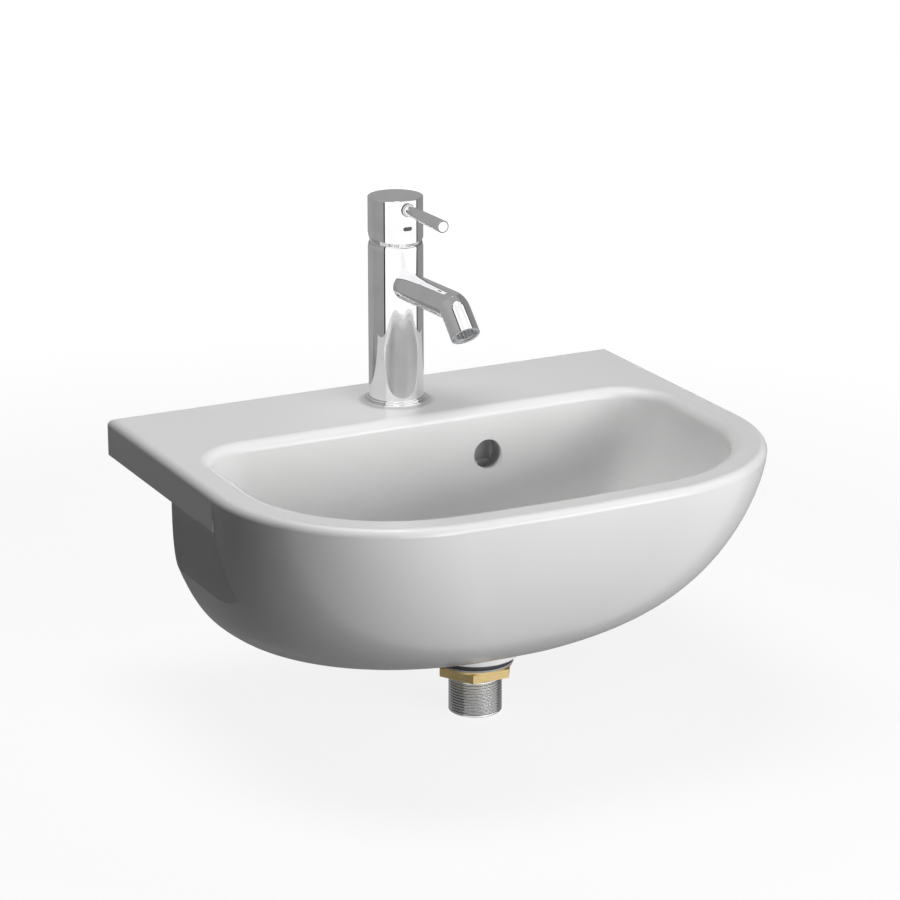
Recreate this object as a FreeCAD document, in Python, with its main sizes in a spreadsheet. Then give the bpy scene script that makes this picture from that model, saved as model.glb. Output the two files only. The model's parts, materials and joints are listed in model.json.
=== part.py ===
import FreeCAD, Part
import math
import os
import Sketcher
from FreeCAD import Placement, Rotation, Vector

# Semi recessed basin with a one hole lever mixer and a slotted click waste.
# Millimetres. +X is the user's right, +Y points at the wall, +Z is up.
# The origin is the middle of the basin's rear face, at the level of the ledge's
# underside, which is what the basin rests on.

DIMENSIONS = {
    # china basin
    "basin_width": 450,
    "basin_depth": 360,
    "rim_height": 30,
    "corner_radius": 144,
    "front_radius": 1400,
    "rim_round": 6,
    "rim_width": 28,
    "bowl_lip_round": 8,
    "bowl_rear": 109,
    "bowl_rear_round": 42,
    "bowl_floor": 98,
    "bowl_side_tuck": 75,
    "bowl_front_tuck": 80,
    "bowl_rear_tuck": 34,
    "body_top": 24,
    "body_drop": 160,
    "body_side_tuck": 98.6,
    "body_front_tuck": 195.7,
    "body_rear": 80,
    "body_rear_tuck": 8,
    "ledge_width": 20,
    "ledge_depth": 208,
    "deck_thickness": 16,
    "apron_thickness": 20,
    "overflow_side": 55,
    "overflow_drop": 8.5,
    "overflow_radius": 11.8,
    "duct_radius": 8,
    # waste
    "waste_setback": 195,
    "waste_seat": 102.5,
    "waste_boss_drop": 138,
    "waste_hole_radius": 22.5,
    "waste_flange_radius": 31.5,
    "waste_thread_radius": 20.95,
    "waste_bore_radius": 18.2,
    "waste_tail_drop": 186,
    "waste_spider_drop": 142,
    "plug_radius": 20.4,
    "plug_post_radius": 4.9,
    "plunger_radius": 2.5,
    # mixer
    "tap_setback": 57,
    "tap_hole_radius": 17.5,
    "tap_radius": 22,
    "tap_ring_radius": 25.8,
    "tap_ring_height": 4.6,
    "neck_radius": 20.9,
    "neck_height": 132.2,
    "neck_slope": 7.2,
    "neck_gap": 0.3,
    "cap_top": 167.5,
    "cap_wall": 3,
    "spout_height": 98,
    "spout_rise": 2,
    "spout_radius": 11.5,
    "spout_bore_radius": 7,
    "spout_run": 96.5,
    "spout_bend_radius": 12.5,
    "spout_bend": 46,
    "spout_drop": 21.3,
    "pivot_height": 136,
    "lever_height": 160.2,
    "lever_reach": 83,
    "lever_root_radius": 4.4,
    "lever_tip_radius": 4.9,
    "index_height": 145,
    "running_gap": 0.05,
    "inlet_side": 8.5,
    "inlet_forward": 3,
    "inlet_radius": 4.75,
    "stud_back": 13.4,
    "stud_radius": 3,
}

BODY_SHAPE_POWER = 1.415
BODY_ROUND_POWER = 2.757
BODY_END = 0.985
BODY_CORNER_GROWTH = 0.49
BOWL_SHAPE_POWER = 1.5
BOWL_ROUND_POWER = 2.6

doc = FreeCAD.newDocument("semi_recessed_basin")
sheet = doc.addObject("Spreadsheet::Sheet", "Sizes")


class Size(float):
    """A length that remembers the sheet expression it comes from."""

    def __new__(cls, number, text):
        size = super().__new__(cls, number)
        size.text = text
        return size

    def __add__(self, other):
        return Size(float(self) + float(other), f"({self.text} + {text_of(other)})")

    def __radd__(self, other):
        return Size(float(other) + float(self), f"({text_of(other)} + {self.text})")

    def __sub__(self, other):
        return Size(float(self) - float(other), f"({self.text} - {text_of(other)})")

    def __rsub__(self, other):
        return Size(float(other) - float(self), f"({text_of(other)} - {self.text})")

    def __mul__(self, other):
        return Size(float(self) * float(other), f"({self.text} * {text_of(other)})")

    def __rmul__(self, other):
        return Size(float(other) * float(self), f"({text_of(other)} * {self.text})")

    def __truediv__(self, other):
        return Size(float(self) / float(other), f"({self.text} / {text_of(other)})")

    def __neg__(self):
        return Size(-float(self), f"(0 - {self.text})")


def text_of(number):
    return number.text if isinstance(number, Size) else repr(float(number))


def size(alias):
    return Size(DIMENSIONS[alias], f"Sizes.{alias}")


for row, (alias, number) in enumerate(DIMENSIONS.items(), start=1):
    sheet.set(f"A{row}", alias)
    sheet.set(f"B{row}", str(number))
    sheet.setAlias(f"B{row}", alias)
doc.recompute()

# ---------------------------------------------------------------- helpers


def bind(target, prop, number):
    """Set a property and tie it to the sheet where the number comes from there."""
    if not prop.startswith("Placement"):
        setattr(target, prop, float(number))
    if isinstance(number, Size):
        target.setExpression(prop, number.text)


def put(target, place, turn=None):
    """Place an object at (x, y, z), each bound to the sheet, after an optional rotation."""
    target.Placement = Placement(Vector(*[float(c) for c in place]), turn or Rotation())
    for axis, number in zip("xyz", place):
        bind(target, f"Placement.Base.{axis}", number)
    return target


def cylinder(radius, height, place, turn=None):
    solid = doc.addObject("Part::Cylinder", "Cylinder")
    bind(solid, "Radius", radius)
    bind(solid, "Height", height)
    return put(solid, place, turn)


def cone(low_radius, top_radius, height, place, turn=None):
    solid = doc.addObject("Part::Cone", "Cone")
    bind(solid, "Radius1", low_radius)
    bind(solid, "Radius2", top_radius)
    bind(solid, "Height", height)
    return put(solid, place, turn)


def block(length, width, height, place, turn=None):
    solid = doc.addObject("Part::Box", "Box")
    bind(solid, "Length", length)
    bind(solid, "Width", width)
    bind(solid, "Height", height)
    return put(solid, place, turn)


def ball(radius, place):
    solid = doc.addObject("Part::Sphere", "Sphere")
    bind(solid, "Radius", radius)
    return put(solid, place)


def hexagon(across_flats, height, place):
    solid = doc.addObject("Part::Prism", "Hexagon")
    solid.Polygon = 6
    bind(solid, "Circumradius", across_flats / math.sqrt(3))
    bind(solid, "Height", height)
    return put(solid, place)


def formed(name, shape):
    """A form that is set from Part's own functions."""
    feature = doc.addObject("Part::Feature", name)
    feature.Shape = shape
    return feature


def fused(*solids):
    joined = doc.addObject("Part::MultiFuse", "Fusion")
    joined.Shapes = list(solids)
    joined.Refine = True
    return joined


def gathered(*solids):
    """Identical loose pieces kept as separate solids of one sub-part."""
    group = doc.addObject("Part::Compound", "Group")
    group.Links = list(solids)
    return group


def cut(base, *tools):
    removed = doc.addObject("Part::Cut", "Cut")
    removed.Base = base
    removed.Tool = tools[0] if len(tools) == 1 else fused(*tools)
    removed.Refine = True
    return removed


def shared(first, second):
    overlap = doc.addObject("Part::Common", "Shared")
    overlap.Base = first
    overlap.Tool = second
    return overlap


def cut_each(base, *tools):
    """Take the tools away one after another, for forms with moulded faces."""
    for tool in tools:
        base = cut(base, tool)
    return base


nodes = []


def node(name, piece):
    """Name a finished sub-part; the name is also its file's name."""
    piece.Label = name
    nodes.append(piece)
    return piece


def origin_plane(body, role):
    return next(item for item in body.Origin.OriginFeatures if item.Role == role)


def sketch_on(body, role, name):
    sketch = body.newObject("Sketcher::SketchObject", name)
    sketch.AttachmentSupport = [(origin_plane(body, role), "")]
    sketch.MapMode = "FlatFace"
    return sketch


def constrain(sketch, kind, *values, number=None):
    """Add one constraint; a number from the sheet is bound to it."""
    if number is None:
        return sketch.addConstraint(Sketcher.Constraint(kind, *values))
    index = sketch.addConstraint(Sketcher.Constraint(kind, *values, float(number)))
    if isinstance(number, Size):
        sketch.setExpression(f"Constraints[{index}]", number.text)
    return index


def pin_point(sketch, line, end, across, up):
    """Hold one end of a line at its distances from the sketch's two axes."""
    if float(across) == 0:
        constrain(sketch, "PointOnObject", line, end, -2)
    else:
        constrain(sketch, "DistanceX", -1, 1, line, end, number=across)
    if float(up) == 0:
        constrain(sketch, "PointOnObject", line, end, -1)
    else:
        constrain(sketch, "DistanceY", -1, 1, line, end, number=up)


def outline(sketch, corners):
    """A closed outline of straight lines through corners, each held by two distances."""
    points = [Vector(float(across), float(up), 0) for across, up in corners]
    count = len(points)
    for index in range(count):
        sketch.addGeometry(Part.LineSegment(points[index], points[(index + 1) % count]))
    for index in range(count):
        constrain(sketch, "Coincident", index, 2, (index + 1) % count, 1)
    for index, (across, up) in enumerate(corners):
        pin_point(sketch, index, 1, across, up)


def turned(name, profile, place, turn=None):
    """A turned piece: the profile of (radius, height) corners revolved about its axis."""
    body = doc.addObject("PartDesign::Body", name + "_body")
    sketch = sketch_on(body, "XZ_Plane", name + "_profile")
    outline(sketch, profile)
    revolution = body.newObject("PartDesign::Revolution", name + "_turning")
    revolution.Profile = sketch
    revolution.ReferenceAxis = (sketch, ["V_Axis"])
    revolution.Angle = 360
    body.Tip = revolution
    return put(body, place, turn)


def washer(name, inner, outer, height, place, turn=None):
    return turned(name, [(inner, 0), (outer, 0), (outer, height), (inner, height)], place, turn)


def rim_edges(piece, radius, height):
    """Names of the round edges of a turned body at a radius and a height above its base."""
    shape = piece.Tip.Shape
    found = []
    for index, edge in enumerate(shape.Edges, start=1):
        if not isinstance(edge.Curve, Part.Circle):
            continue
        centre = edge.Curve.Center
        if abs(edge.Curve.Radius - float(radius)) < 0.01 and abs(centre.z - float(height)) < 0.01:
            found.append(f"Edge{index}")
    return found


def rounded(body, radius, *rims):
    """Round edges of a turned body, each rim given by its radius and height."""
    doc.recompute()
    edges = [edge for rim in rims for edge in rim_edges(body, *rim)]
    base = body.Tip
    fillet = body.newObject("PartDesign::Fillet", body.Name + "_round")
    fillet.Base = (base, edges)
    fillet.Radius = radius
    body.Tip = fillet
    return body


# ---------------------------------------------------------------- china basin

half_width = size("basin_width") / 2
depth = size("basin_depth")
rim_height = size("rim_height")
corner_radius = size("corner_radius")
front_radius = size("front_radius")
waste_y = -size("waste_setback")
tap_y = -size("tap_setback")


def d_pad(name, height, place):
    """The basin's D shaped plan, drawn as a sketch and padded upwards."""
    body = doc.addObject("PartDesign::Body", name + "_body")
    sketch = sketch_on(body, "XY_Plane", name + "_plan")
    centre_up = front_radius - depth
    reach = front_radius - corner_radius
    corner_x = half_width - corner_radius
    corner_y = float(centre_up) - math.sqrt(float(reach) ** 2 - float(corner_x) ** 2)
    lean = math.atan2(float(corner_x), float(centre_up) - corner_y)
    bottom = -math.pi / 2
    left = Vector(-float(half_width), 0, 0)
    right = Vector(float(half_width), 0, 0)
    right_low = Vector(right.x, corner_y, 0)
    left_low = Vector(left.x, corner_y, 0)
    up = Vector(0, 0, 1)
    right_round = Part.Circle(Vector(float(corner_x), corner_y, 0), up, float(corner_radius))
    left_round = Part.Circle(Vector(-float(corner_x), corner_y, 0), up, float(corner_radius))
    front = Part.Circle(Vector(0, float(centre_up), 0), up, float(front_radius))
    sketch.addGeometry(Part.LineSegment(left, right))
    sketch.addGeometry(Part.LineSegment(right, right_low))
    sketch.addGeometry(Part.ArcOfCircle(right_round, bottom + lean, 0))
    sketch.addGeometry(Part.ArcOfCircle(front, bottom - lean, bottom + lean))
    sketch.addGeometry(Part.ArcOfCircle(left_round, math.pi, 2 * math.pi + bottom - lean))
    sketch.addGeometry(Part.LineSegment(left_low, left))
    constrain(sketch, "Coincident", 0, 2, 1, 1)
    constrain(sketch, "Tangent", 1, 2, 2, 2)
    constrain(sketch, "Tangent", 2, 1, 3, 2)
    constrain(sketch, "Tangent", 3, 1, 4, 2)
    constrain(sketch, "Tangent", 4, 1, 5, 1)
    constrain(sketch, "Coincident", 5, 2, 0, 1)
    constrain(sketch, "Vertical", 1)
    constrain(sketch, "Vertical", 5)
    constrain(sketch, "Symmetric", 0, 1, 0, 2, -1, 1)
    constrain(sketch, "PointOnObject", 0, 1, -1)
    constrain(sketch, "DistanceX", 0, 1, 0, 2, number=size("basin_width"))
    constrain(sketch, "Radius", 2, number=corner_radius)
    constrain(sketch, "Radius", 4, number=corner_radius)
    constrain(sketch, "Radius", 3, number=front_radius)
    constrain(sketch, "PointOnObject", 3, 3, -2)
    pad = body.newObject("PartDesign::Pad", name + "_pad")
    pad.Profile = sketch
    bind(pad, "Length", height)
    body.Tip = pad
    return put(body, place)


def d_wire(half, rear, front, rear_round, corner, arc, level):
    """The same plan as a wire at one level, with rounded rear corners, for the moulded forms."""
    centre_y = front + arc
    corner_x = half - corner
    corner_y = centre_y - math.sqrt((arc - corner) ** 2 - corner_x ** 2)
    lean = math.atan2(corner_x, centre_y - corner_y)
    slant = 0.5 * (math.pi / 2 + lean)
    across = half - rear_round
    knee = rear_round * math.sqrt(0.5)

    def at(x, y):
        return Vector(x, y, level)

    join = at(arc * math.sin(lean), centre_y - arc * math.cos(lean))
    bend = at(corner_x + corner * math.sin(slant), corner_y - corner * math.cos(slant))

    def mirrored(point):
        return at(-point.x, point.y)

    rear_end = at(across, rear)
    side_top = at(half, rear - rear_round)
    rear_bend = at(across + knee, rear - rear_round + knee)
    side_end = at(half, corner_y)
    edges = [
        Part.LineSegment(mirrored(rear_end), rear_end),
        Part.Arc(rear_end, rear_bend, side_top),
        Part.LineSegment(side_top, side_end),
        Part.Arc(side_end, bend, join),
        Part.Arc(join, at(0, front), mirrored(join)),
        Part.Arc(mirrored(join), mirrored(bend), mirrored(side_end)),
        Part.LineSegment(mirrored(side_end), mirrored(side_top)),
        Part.Arc(mirrored(side_top), mirrored(rear_bend), mirrored(rear_end)),
    ]
    return Part.Wire([edge.toShape() for edge in edges])


def tuck(share, shape_power, round_power):
    """How far a wall has drawn in, 0 to 1, at a share of its drop: steep first, then round."""
    return 1 - (1 - share ** shape_power) ** (1 / round_power)


def body_wire(share):
    drawn = tuck(share, BODY_SHAPE_POWER, BODY_ROUND_POWER)
    inward = float(size("body_side_tuck")) * drawn
    half = float(half_width) - inward
    front = -float(depth) + float(size("body_front_tuck")) * drawn
    rear = -float(size("body_rear")) - float(size("body_rear_tuck")) * drawn
    rear_round = 12
    grown = float(corner_radius) + BODY_CORNER_GROWTH * inward
    corner = min(grown, half - 5, rear - rear_round - front - 2)
    level = float(size("body_top")) - float(size("body_drop")) * share
    return d_wire(half, rear, front, rear_round, corner, float(front_radius), level)


def bowl_wire(share, outset=0.0, lift=0.0):
    drawn = tuck(share, BOWL_SHAPE_POWER, BOWL_ROUND_POWER)
    rim = float(size("rim_width"))
    half = float(half_width) - rim - float(size("bowl_side_tuck")) * drawn + outset
    front = -float(depth) + rim + float(size("bowl_front_tuck")) * drawn - outset
    rear = -float(size("bowl_rear")) - float(size("bowl_rear_tuck")) * drawn + outset
    rear_round = float(size("bowl_rear_round")) + outset
    corner = float(corner_radius) - rim + outset
    room = rear - rear_round - front - 2
    arc = float(front_radius) - rim + outset
    top = float(rim_height) - float(size("bowl_lip_round"))
    level = top - (top + float(size("bowl_floor"))) * share + lift
    return d_wire(half, rear, front, rear_round, min(corner, room), arc, level)


def lofted(wires):
    """A smooth solid through wires, listed from the lowest to the highest."""
    return Part.makeLoft(wires, True, False)


def make_body():
    """The moulded outside below the rim, fitted to a steep wall that rounds under the bowl."""
    steps = 11
    shares = [BODY_END * math.sin(0.5 * math.pi * step / steps) for step in range(steps + 1)]
    return formed("moulded_body", lofted([body_wire(share) for share in reversed(shares)]))


def make_bowl():
    """The hollow of the bowl below its lip, and the lip's round edge."""
    steps = 11
    shares = [math.sin(0.5 * math.pi * step / steps) for step in range(steps + 1)]
    hollow = formed("bowl_hollow", lofted([bowl_wire(share) for share in reversed(shares)]))
    lip = float(size("bowl_lip_round"))
    turns = [math.radians(angle) for angle in (0, 22.5, 45, 67.5, 90)]
    wires = [bowl_wire(0, lip * (1 - math.cos(turn)), lip * math.sin(turn)) for turn in turns]
    return hollow, formed("bowl_lip", lofted(wires))


def make_basin():
    edge_y = size("ledge_depth")
    apron = size("apron_thickness")
    ledge_half = half_width - size("ledge_width")
    tall = 400
    slab = d_pad("rim", rim_height, (0, 0, 0))
    doc.recompute()
    top_edges = [
        f"Edge{index}"
        for index, edge in enumerate(slab.Tip.Shape.Edges, start=1)
        if edge.BoundBox.ZMin > float(rim_height) - 0.01
    ]
    pad = slab.Tip
    fillet = slab.newObject("PartDesign::Fillet", "rim_rounding")
    fillet.Base = (pad, top_edges)
    bind(fillet, "Radius", size("rim_round"))
    slab.Tip = fillet
    ahead = block(tall * 2, tall, tall, (-tall, -edge_y - tall, size("body_top") - tall))
    rim = cut(slab, ahead)
    outside = make_body()
    shoulder_width = size("ledge_width") + 5
    right_step = block(shoulder_width, edge_y, tall, (ledge_half, -edge_y, -tall))
    left_step = block(shoulder_width, edge_y, tall, (-ledge_half - shoulder_width, -edge_y, -tall))
    moulded = cut(outside, right_step, left_step)
    boss_drop = size("waste_boss_drop")
    boss = cylinder(34, boss_drop - size("bowl_floor") - 12, (0, waste_y, -boss_drop))
    china = fused(rim, moulded, boss)

    recess_half = half_width - size("ledge_width") - 10
    recess = block(
        recess_half * 2,
        size("body_rear") - apron,
        rim_height - size("deck_thickness"),
        (-recess_half, -size("body_rear"), 0),
    )
    tap_hole = cylinder(size("tap_hole_radius"), rim_height * 2, (0, tap_y, 0))
    seat = size("waste_seat")
    waste_hole = cylinder(size("waste_hole_radius"), boss_drop, (0, waste_y, -boss_drop - 1))
    flange_seat = cylinder(33, 6, (0, waste_y, -seat))
    fall = cone(33, 80, 2.5, (0, waste_y, -size("bowl_floor") - 2.4))
    chamber = cylinder(29, 12, (0, waste_y, -seat - 23.5))
    return node(
        "basin",
        cut_each(
            china,
            *make_bowl(),
            recess,
            tap_hole,
            waste_hole,
            flange_seat,
            fall,
            chamber,
            *overflow_passage(),
        ),
    )


def overflow_passage():
    """The hole in the bowl's rear wall, the duct down behind it and the way to the waste."""
    side = size("overflow_side")
    duct_radius = size("duct_radius")
    duct_y = -size("body_rear") - duct_radius - 9
    hole_radius = size("overflow_radius")
    hole_z = -size("overflow_drop")
    forward = Rotation(Vector(1, 0, 0), 90)
    soft_edge = 2.0
    edge_y = -size("bowl_rear") - 0.6
    flare = cone(hole_radius, hole_radius + 2, soft_edge, (side, edge_y, hole_z), forward)
    mouth = cylinder(hole_radius, 30, (side, duct_y, hole_z), forward)
    low = -size("waste_seat") - 22.5
    duct = cylinder(duct_radius, hole_z + hole_radius - low - 1, (side, duct_y, low))
    run_x = -float(side)
    run_y = float(waste_y) - float(duct_y)
    run = math.hypot(run_x, run_y)
    heading = Rotation(Vector(0, 0, 1), math.degrees(math.atan2(run_y, run_x)))
    channel_half = duct_radius - 1.5
    sideways = heading.multVec(Vector(0, float(channel_half), 0))
    start = Vector(float(side), float(duct_y), float(low)) - sideways
    channel = block(run, channel_half * 2, 10, (start.x, start.y, start.z), heading)
    return flare, mouth, duct, channel


# ---------------------------------------------------------------- waste and plug


def make_waste():
    seat = size("waste_seat")
    seal_height = 1.5
    thread = size("waste_thread_radius")
    bore = size("waste_bore_radius")
    flange = size("waste_flange_radius")
    tail = size("waste_tail_drop")
    flange_low = tail - seat + seal_height
    top = flange_low + 3.5
    free_length = tail - size("waste_boss_drop") - 18
    tube = turned(
        "waste_tube",
        [
            (bore, 0),
            (thread - 1, 0),
            (thread, 1),
            (thread, free_length),
            (thread - 0.8, free_length),
            (thread - 0.8, free_length + 1.5),
            (thread, free_length + 1.5),
            (thread, flange_low),
            (flange, flange_low),
            (flange, flange_low + 2),
            (flange - 1.5, top),
            (bore + 3.8, top),
            (bore + 2.6, top - 1.2),
            (bore, flange_low - 2),
        ],
        (0, waste_y, -tail),
    )
    slots = []
    slot_low = -seat - 22
    for angle in (0, 60, 120):
        turn = Rotation(Vector(0, 0, 1), angle)
        corner = turn.multVec(Vector(-30, -4.5, 0))
        slots.append(block(60, 9, 9, (corner.x, corner.y + waste_y, slot_low), turn))
    spider_drop = size("waste_spider_drop")
    hub = cylinder(9, 12, (0, waste_y, -spider_drop))
    arms = []
    for angle in (0, 120, 240):
        turn = Rotation(Vector(0, 0, 1), angle)
        corner = turn.multVec(Vector(0, -1.5, 0))
        arms.append(block(bore + 1, 3, 8, (corner.x, corner.y + waste_y, -spider_drop + 2), turn))
    post_hole = cylinder(size("plug_post_radius"), 30, (0, waste_y, -spider_drop - 5))
    node("waste_body", cut(fused(cut(tube, *slots), hub, *arms), post_hole))

    node(
        "waste_flange_seal",
        washer("flange_seal", thread + 0.15, flange - 1, seal_height, (0, waste_y, -seat)),
    )
    boss_drop = size("waste_boss_drop")
    gasket = turned(
        "under_gasket",
        [(thread + 0.15, 0), (30, 0), (31, 2), (31, 5), (23, 5), (thread + 0.15, 3)],
        (0, waste_y, -boss_drop - 5),
    )
    node("waste_under_gasket", gasket)
    washer_base = -boss_drop - 6.5
    node("waste_washer", washer("slip_washer", thread + 0.15, 30, 1.5, (0, waste_y, washer_base)))
    nut_base = washer_base - 9
    nut = hexagon(54, 7, (0, waste_y, nut_base))
    nut_face = cylinder(29, 2, (0, waste_y, nut_base + 7))
    nut_thread = cylinder(thread, 20, (0, waste_y, nut_base - 5))
    node("waste_backnut", cut(fused(nut, nut_face), nut_thread))


def make_plug():
    """The click plug: a cap on a plunger that slides in the post screwed into the spider."""
    seat = size("waste_seat")
    closed = -seat + 3.6
    post_radius = size("plug_post_radius")
    plunger = size("plunger_radius")
    spider_drop = size("waste_spider_drop")
    post_top = -seat + 0.6
    collar = spider_drop - seat - 9.5
    length = spider_drop + post_top
    bore = plunger + size("running_gap")
    post = turned(
        "post",
        [
            (bore, 0),
            (post_radius, 0),
            (post_radius, collar),
            (7.2, collar),
            (7.2, collar + 1.4),
            (post_radius, collar + 1.4),
            (post_radius, length),
            (bore, length),
        ],
        (0, waste_y, -spider_drop),
    )
    node("plug_post", post)
    rim = size("plug_radius")
    cap = turned(
        "cap",
        [
            (0, 0),
            (rim - 1, 0),
            (rim, 2.2),
            (rim, 3.6),
            (rim - 1, 4.6),
            (rim - 8, 5.1),
            (0, 5.3),
        ],
        (0, waste_y, closed),
    )
    node("plug_cap", cap)
    seal = turned(
        "seal",
        [(9.6, 0), (19, 0), (19.4, 2.1), (9.6, 2.1)],
        (0, waste_y, closed - 2.1),
    )
    node("plug_seal", seal)
    sleeve = turned(
        "sleeve",
        [
            (7.6, 0),
            (9.5, 0),
            (9.5, 8.3),
            (13, 8.3),
            (13, 9.9),
            (9.5, 9.9),
            (9.5, 12),
            (7.6, 12),
        ],
        (0, waste_y, closed - 12),
    )
    node("plug_sleeve", sleeve)
    node("plug_plunger", cylinder(plunger, 34, (0, waste_y, closed - 34)))
    wire = 0.55
    low = -spider_drop + collar + 1.4
    coil = spring(6.2, wire, 5, float(closed - low) - 2 * wire)
    node("plug_spring", put(coil, (0, waste_y, low + wire)))


def spring(radius, wire, coils, height):
    """A coil drawn through small eight sided sections of its wire, sixteen to a turn."""
    sides = 8
    per_turn = 16

    def section(turn):
        swing = 2 * math.pi * turn
        out = Vector(math.cos(swing), math.sin(swing), 0)
        corners = []
        for side in range(sides):
            angle = 2 * math.pi * side / sides
            rise = height * turn / coils + wire * math.sin(angle)
            corners.append(out * (radius + wire * math.cos(angle)) + Vector(0, 0, rise))
        return Part.makePolygon([*corners, corners[0]])

    sections = [section(step / per_turn) for step in range(per_turn * coils + 1)]
    return formed("spring", Part.makeLoft(sections, True, True))


# ---------------------------------------------------------------- mixer body and spout

deck = rim_height
tap_radius = size("tap_radius")
pivot_z = deck + size("pivot_height")
gap = size("running_gap")
forward_turn = Rotation(Vector(1, 0, 0), 90)
seat_drop = 27.5
dish_radius = 22.1
joint_slope = Rotation(Vector(1, 0, 0), float(size("neck_slope")))
neck_z = deck + size("neck_height")


def above_joint():
    """Everything above the slanting joint between the body and the handle cap."""
    wide = 100
    corner = Vector(-wide / 2, -wide / 2, -float(size("neck_gap")))
    place = joint_slope.multVec(corner) + Vector(0, float(tap_y), float(neck_z))
    return block(wide, wide, wide, tuple(place), joint_slope)


def make_tap_body():
    base = size("tap_ring_height")
    seat = size("pivot_height") - seat_drop - base
    neck = size("neck_height") - base
    neck_radius = size("neck_radius")
    body = turned(
        "column",
        [
            (0, 0),
            (tap_radius, 0),
            (tap_radius, neck - 5),
            (neck_radius, neck),
            (neck_radius, neck + 4),
            (19, neck + 4),
            (19, seat + 10),
            (15.5, seat + 10),
            (15.5, seat + 4),
            (14.05, seat + 4),
            (14.05, seat),
            (0, seat),
        ],
        (0, tap_y, deck + base),
    )
    dish = ball(dish_radius, (0, tap_y, pivot_z))
    slot_low = deck + base - 1
    ports = []
    for side in (-1, 1):
        x = size("inlet_side") * side
        y = tap_y - size("inlet_forward")
        ports.append(cylinder(size("inlet_radius"), 15, (x, y, slot_low)))
        low_end = Vector(7.5 * side, float(tap_y) - 1.5, float(slot_low) + 14)
        high_end = Vector(6 * side, float(tap_y) + 2, float(pivot_z) - seat_drop + 0.2)
        run = high_end - low_end
        ports.append(cylinder(1.8, run.Length, tuple(low_end), Rotation(Vector(0, 0, 1), run)))
    outlet = cylinder(2.4, 20, (0, tap_y - 5.8, pivot_z - seat_drop - 18))
    stud_hole = cylinder(size("stud_radius"), 14, (0, tap_y + size("stud_back"), slot_low))
    spigot = size("spout_radius") - 3.4
    lean = Rotation(Vector(1, 0, 0), 90 - float(size("spout_rise")))
    rise = math.tan(math.radians(float(size("spout_rise"))))
    start_y = -4.0
    branch = cylinder(
        spigot, 30, (0, tap_y + start_y, deck + size("spout_height") - start_y * rise), lean
    )
    node("tap_body", cut(body, above_joint(), dish, outlet, stud_hole, branch, *ports))


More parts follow.
